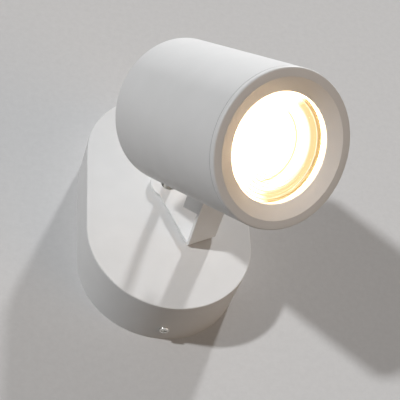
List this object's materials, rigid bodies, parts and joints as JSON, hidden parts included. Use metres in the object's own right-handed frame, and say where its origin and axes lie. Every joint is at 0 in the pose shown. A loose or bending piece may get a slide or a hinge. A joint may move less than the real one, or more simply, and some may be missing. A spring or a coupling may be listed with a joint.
{
  "type": "surface mounted spotlight",
  "caption": "Ceiling or wall spotlight: oval base with a folded arm that swivels and a round tilting head with a chamfered front ring and a twist-lock reflector lamp.",
  "frame": {"origin": "centre of the oval base's back face, on the mounting surface", "axes": "+Z out of the mounting surface, towards the room; +Y along the oval base's length; +X across its width. The part is stored lying on its back face, so on a ceiling +Z points down"},
  "size_m": [0.0914, 0.1256, 0.1453],
  "materials": {
    "white_paint": "fine matt white powder coat",
    "zinc_steel": "zinc-plated sheet steel",
    "plated_screw": "bright nickel plate",
    "brass": "turned brass",
    "tinned_copper": "tin plate",
    "black_rubber": "soft rubber",
    "white_nylon": "natural nylon",
    "porcelain": "unglazed steatite",
    "lamp_body": "white lamp shell",
    "lamp_lens": "clear moulded lens with rings, lit",
    "board_white": "white-coated circuit board",
    "led_phosphor": "yellow phosphor",
    "brown_wire": "brown insulation",
    "blue_wire": "blue insulation",
    "green_wire": "green and yellow insulation",
    "sleeve": "braided glass-fibre sleeve"
  },
  "bodies": {
    "base": {"mounting_plate": "zinc_steel", "base_cover": "white_paint", "cover_screws": "plated_screw", "cable_grommet": "black_rubber", "terminal_block": "white_nylon", "terminal_barrels": "brass", "terminal_screws": "plated_screw", "terminal_fixing_screw": "plated_screw", "earth_screw": "brass", "earth_washer": "brass", "earth_tag": "tinned_copper", "base_lead_live": "brown_wire", "base_lead_neutral": "blue_wire", "base_lead_earth": "green_wire", "stop_pin": "zinc_steel"},
    "arm": {"arm_bracket": "white_paint", "swivel_nipple": "white_paint", "swivel_glide": "white_nylon", "inner_glide": "white_nylon", "stop_washer": "zinc_steel", "spring_washer": "zinc_steel", "swivel_nut": "plated_screw", "arm_cable": "sleeve"},
    "head": {"head_tube": "white_paint", "rear_cap": "white_paint", "rear_cap_screws": "plated_screw", "hinge_bracket": "zinc_steel", "pivot_screws": "plated_screw", "pivot_washers": "white_nylon", "holder_pillars": "brass", "holder_screws": "plated_screw", "lampholder": "porcelain", "head_leads": "sleeve"},
    "lamp": {"lamp_housing": "lamp_body", "lamp_lens": "lamp_lens", "led_board": "board_white", "led_chip": "led_phosphor", "lamp_pins": "plated_screw"},
    "front_ring": {"front_ring": "white_paint"}
  },
  "joints": [
    {"name": "swivel", "type": "hinge", "parent": "base", "child": "arm", "pos_m": [0, 0.0065, 0.027], "axis": [0, 0, 1], "range_deg": [-185, 135]},
    {"name": "tilt", "type": "hinge", "parent": "arm", "child": "head", "pos_m": [0.01081, -0.01658, 0.0685], "axis": [0.9056, 0.4242, 0], "range_deg": [-51.7, 38.2], "deforming": ["arm_cable"]},
    {"name": "lamp_twist", "type": "hinge", "parent": "head", "child": "lamp", "pos_m": [0.00554, -0.00532, 0.08862], "axis": [0.333, -0.711, 0.6194], "range_deg": [0, 22]},
    {"name": "ring_pull", "type": "slide", "parent": "head", "child": "front_ring", "axis": [0.333, -0.711, 0.6194], "range_m": [0, 0.03]}
  ]
}
